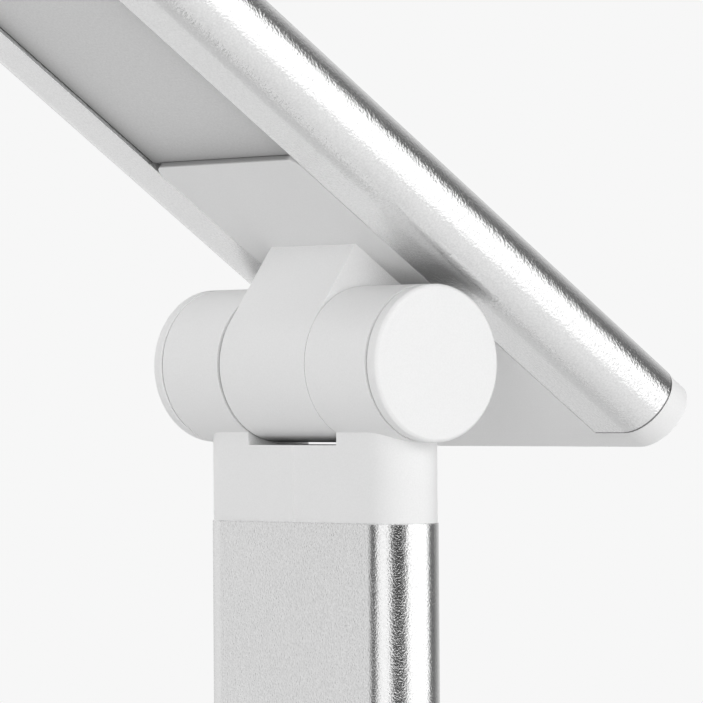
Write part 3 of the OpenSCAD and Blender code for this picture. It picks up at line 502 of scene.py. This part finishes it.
def legend(g, place):
    """Printed marks under the touch panel: a power ring and bar, a minus and a plus."""
    x = along(g, place, ACROSS, PANEL_MIDDLE)
    y = along(g, place, BACKWARD, PANEL_MIDDLE)

    def bar(middle_x, middle_y, half_x, half_y):
        """Below 0 inside a bar of these half sides."""
        dx = g.math("SUBTRACT", g.math("ABSOLUTE", g.math("SUBTRACT", x, middle_x)), half_x)
        dy = g.math("SUBTRACT", g.math("ABSOLUTE", g.math("SUBTRACT", y, middle_y)), half_y)
        return g.math("MAXIMUM", dx, dy)

    dx = g.math("SUBTRACT", x, POWER_X)
    radius = g.math("SQRT", g.math("ADD", g.math("MULTIPLY", dx, dx), g.math("MULTIPLY", y, y)))
    ring = g.math("SUBTRACT", g.math("ABSOLUTE", g.math("SUBTRACT", radius, POWER_RADIUS)), STROKE_HALF)
    outside_gap = g.math("MULTIPLY", bar(POWER_X, POWER_RADIUS, *POWER_GAP_HALVES), -1.0)
    mark = g.math("MAXIMUM", ring, outside_gap)
    bars = (
        bar(POWER_X, POWER_BAR_Y, STROKE_HALF, POWER_BAR_HALF),
        bar(MINUS_X, 0.0, SIGN_HALF, STROKE_HALF),
        bar(PLUS_X, 0.0, SIGN_HALF, STROKE_HALF),
        bar(PLUS_X, 0.0, STROKE_HALF, SIGN_HALF),
    )
    for stroke in bars:
        mark = g.math("MINIMUM", mark, stroke)
    return g.span(mark, -MARK_BLUR, MARK_BLUR, MARK_SHARE, 1.0)


# ---------------------------------------------------------------- copper of the circuit boards
TRACK_MM = 1.6           # from one track to the next
FIELD_MM = 8.0
GAP_ENDS = (0.11, 0.15)  # where a track begins, from the middle of a gap, as a share of TRACK_MM
GAP_SHARE = 0.72         # colour over a gap against the colour over a track


def tracks(g, place):
    """Copper runs under a board's lacquer, lengthwise in some fields and crosswise in others."""
    flat = g.vector("MULTIPLY", place, (1.0, 1.0, 0.0))
    fields = g.vector("SNAP", flat, (FIELD_MM * MM,) * 3)
    chance = g.node("ShaderNodeTexWhiteNoise", {"Vector": fields}).outputs["Value"]
    x, y, _ = g.parts(flat)
    lengthwise = g.math("GREATER_THAN", chance, 0.5)
    run = g.math("MULTIPLY_ADD", lengthwise, g.math("SUBTRACT", y, x), x)
    phase = g.math("PINGPONG", run, 0.5 * TRACK_MM * MM)
    track = g.span(phase, *(share * TRACK_MM * MM for share in GAP_ENDS))
    return g.math("MULTIPLY_ADD", track, 1.0 - GAP_SHARE, GAP_SHARE)


# ---------------------------------------------------------------- a look for each slot of the record
LOOKS = {
    "white_plastic": surface(
        "white_abs", (0.80, 0.80, 0.80), rough=0.45, grain_mm=0.2, grain_um=2.2, specks=0.010,
        wave_um=6.0, corner_shade=0.5, wear_and_highlight=0.05, shade=step_shadow),
    "anodised_aluminium": surface(
        "aluminium", (0.93, 0.93, 0.93), rough=0.14, grain_mm=0.25, grain_um=5.2, metal=1.0,
        mottle=0.01, specks=0.035, coarser=head_blasting, shade=painted_seam_shadow),
    "frosted_diffuser": surface(
        "diffuser", (0.68, 0.68, 0.68), rough=0.5, grain_mm=0.25, grain_um=1.5, specks=0.03,
        shade=frame_shadow),
    "grey_plastic": surface(
        "grey_abs", (0.42, 0.42, 0.43), rough=0.5, grain_mm=0.3, grain_um=3.0, mottle=0.01,
        specks=0.012, wave_um=5.0, corner_shade=0.4, wear_and_highlight=0.04),
    "pad_rubber": surface(
        "pad", (0.045, 0.045, 0.048), rough=0.7, grain_mm=0.5, grain_um=14.0, mottle=0.05,
        specks=0.08, patches=0.12, corner_shade=0.3),
    "ballast_steel": surface(
        "ballast", (0.36, 0.35, 0.34), rough=0.42, grain_mm=0.6, grain_um=5.0, metal=1.0, mottle=0.05,
        specks=0.03, patches=0.15, wave_um=8.0, wear_and_highlight=0.15, lay=(0.08, 1.0, 1.0)),
    "screw_steel": surface(
        "screw", (0.55, 0.55, 0.54), rough=0.3, grain_mm=0.12, grain_um=1.2, metal=1.0, mottle=0.03,
        specks=0.03, patches=0.15, corner_shade=0.4, wear_and_highlight=0.1),
    "shaft_steel": surface(
        "shaft", (0.60, 0.60, 0.61), rough=0.25, grain_mm=0.15, grain_um=1.5, metal=1.0, mottle=0.02,
        specks=0.02, patches=0.12, wear_and_highlight=0.08, lay=(1.0, 0.06, 0.06)),
    "bush_bronze": surface(
        "bronze", (0.50, 0.30, 0.13), rough=0.38, grain_mm=0.1, grain_um=3.0, metal=1.0, mottle=0.05,
        specks=0.10, patches=0.15, wear_and_highlight=0.06),
    "washer_nylon": surface(
        "nylon", (0.70, 0.68, 0.61), rough=0.5, grain_mm=0.3, grain_um=1.5, mottle=0.02, specks=0.01,
        wear_and_highlight=0.04, **{"Subsurface Weight": 0.2, "Subsurface Scale": 0.8 * MM}),
    "panel_plastic": surface(
        "panel", (0.035, 0.035, 0.038), rough=0.1, grain_mm=0.5, grain_um=0.05, patches=0.2,
        shade=legend),
    "clear_plastic": surface(
        "clear", (0.86, 0.86, 0.86), rough=0.12, grain_mm=0.4, grain_um=0.2, patches=0.15,
        **{"Transmission Weight": 0.6, "IOR": 1.49}),
    "board_green": surface(
        "green", (0.016, 0.115, 0.045), rough=0.32, grain_mm=0.35, grain_um=3.0, mottle=0.04,
        specks=0.05, patches=0.1, corner_shade=0.4, shade=tracks),
    "board_white": surface(
        "board_white", (0.78, 0.78, 0.77), rough=0.35, grain_mm=0.35, grain_um=2.0, mottle=0.01,
        specks=0.01, corner_shade=0.3, shade=tracks),
    "component_black": surface(
        "black", (0.022, 0.022, 0.024), rough=0.45, grain_mm=0.12, grain_um=3.0, mottle=0.05,
        specks=0.12, patches=0.1, wear_and_highlight=0.02),
    "led_phosphor": surface(
        "phosphor", (0.80, 0.58, 0.09), rough=0.3, grain_mm=0.1, grain_um=1.0, mottle=0.03,
        specks=0.05),
    "reflector_white": surface(
        "reflector", (0.86, 0.86, 0.86), rough=0.55, grain_mm=0.3, grain_um=2.0, mottle=0.01,
        specks=0.01, wave_um=5.0, corner_shade=0.25),
    "inlet_metal": surface(
        "inlet", (0.62, 0.62, 0.62), rough=0.28, grain_mm=0.15, grain_um=1.0, metal=1.0, mottle=0.03,
        specks=0.03, patches=0.15, corner_shade=0.5, wear_and_highlight=0.08),
    "lead_grey": surface(
        "lead", (0.26, 0.26, 0.27), rough=0.42, grain_mm=0.5, grain_um=3.0, mottle=0.03, specks=0.02,
        patches=0.1),
}


def dress_cad_nodes():
    """Gives each CAD node the look of its record slot."""
    for node in NODES.values():
        for held in node.material_slots:
            slot = held.material.name.split(".")[0]
            held.material = LOOKS[slot]
            LOOKS[slot]["slot"] = slot


dress_cad_nodes()


# ---------------------------------------------------------------- softened edges
SHARP = math.radians(28.0)
FLAT = math.radians(0.5)
WELD_MM = 0.001
RIDGE_HALF_MM = 0.35
RIDGE_HIGH_MM = 0.08
CREST_MIN_MM = 3.0
FACING = 0.99
TOUCH = 1e-4 * MM
SOFTENED = (  # CAD node, the body it rides on, radius of its edges in mm
    ("arm_upper_clevis", "arm", 0.3), ("head_hinge_end_caps", "arm", 0.15),
    ("head_rear_housing", "head", 0.4), ("arm_extrusion", "arm", 0.12),
    ("head_extrusion", "head", 0.12), ("diffuser", "head", 0.05),
    ("arm_lower_clevis", "arm", 0.3), ("base_hinge_end_caps", "arm", 0.15),
    ("base_housing", "base", 0.3), ("head_front_cap", "head", 0.3),
    ("base_cover", "base", 0.3), ("touch_panel", "base", 0.15),
)


def clean_copy(mesh):
    """The mesh with its flat areas in one face each, which takes an even rounding."""
    copy = mesh.copy()
    shape = bmesh.new()
    shape.from_mesh(copy)
    bmesh.ops.remove_doubles(shape, verts=shape.verts, dist=WELD_MM * MM)
    bmesh.ops.dissolve_limit(shape, angle_limit=FLAT, verts=shape.verts, edges=shape.edges)
    shape.to_mesh(copy)
    shape.free()
    copy.shade_smooth()
    return copy


def add_rounding(piece, round_mm):
    cut = piece.modifiers.new("round", "BEVEL")
    cut.width = round_mm * MM
    cut.segments = 2
    cut.limit_method = "ANGLE"
    cut.angle_limit = SHARP
    cut.use_clamp_overlap = True
    cut.miter_outer = "MITER_ARC"


def add_even_shading(piece):
    """Keeps the wide faces flat and leaves the turn of the shading to the rounded edges."""
    level = piece.modifiers.new("level", "WEIGHTED_NORMAL")
    level.keep_sharp = True
    level.weight = 100


def is_crest(edge):
    """True for the middle line of a front or back face."""
    middle_line = all(abs(vertex.co.x) < TOUCH for vertex in edge.verts)
    upright = all(abs(face.normal.y) > FACING for face in edge.link_faces)
    return middle_line and upright and edge.calc_length() > CREST_MIN_MM * MM


def cut_along(shape, x):
    """Cuts the shape's faces along the plane at x, and keeps both sides."""
    everything = shape.verts[:] + shape.edges[:] + shape.faces[:]
    bmesh.ops.bisect_plane(
        shape, geom=everything, dist=TOUCH, plane_co=(x, 0.0, 0.0), plane_no=(1.0, 0.0, 0.0))


def add_parting_line(piece):
    """A fine ridge at X = 0 down the front and back of a moulding, where the halves of its mould met."""
    depsgraph = bpy.context.evaluated_depsgraph_get()
    rounded = bpy.data.meshes.new_from_object(piece.evaluated_get(depsgraph))
    piece.modifiers.clear()
    shape = bmesh.new()
    shape.from_mesh(rounded)
    for x_mm in (-RIDGE_HALF_MM, 0.0, RIDGE_HALF_MM):
        cut_along(shape, x_mm * MM)
    shape.normal_update()
    crests = [edge for edge in shape.edges if is_crest(edge)]
    for slope in {face for edge in crests for face in edge.link_faces}:
        slope.smooth = False
    moves = {vertex: edge.link_faces[0].normal.y for edge in crests for vertex in edge.verts}
    for vertex, outward in moves.items():
        vertex.co.y += math.copysign(RIDGE_HIGH_MM * MM, outward)
    shape.to_mesh(rounded)
    shape.free()
    piece.data = rounded


def soften(name, body, round_mm, ridge):
    """Replaces a CAD node by a copy with its sharp edges rounded, as moulding and blasting leave them."""
    node = NODES[name]
    piece = bpy.data.objects.new(name + "_finished", clean_copy(node.data))
    bpy.context.scene.collection.objects.link(piece)
    add_rounding(piece, round_mm)
    if ridge:
        add_parting_line(piece)
    add_even_shading(piece)
    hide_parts(name)
    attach(piece, body)


for name, body, round_mm in SOFTENED:
    soften(name, body, round_mm, ridge=name.endswith("clevis"))
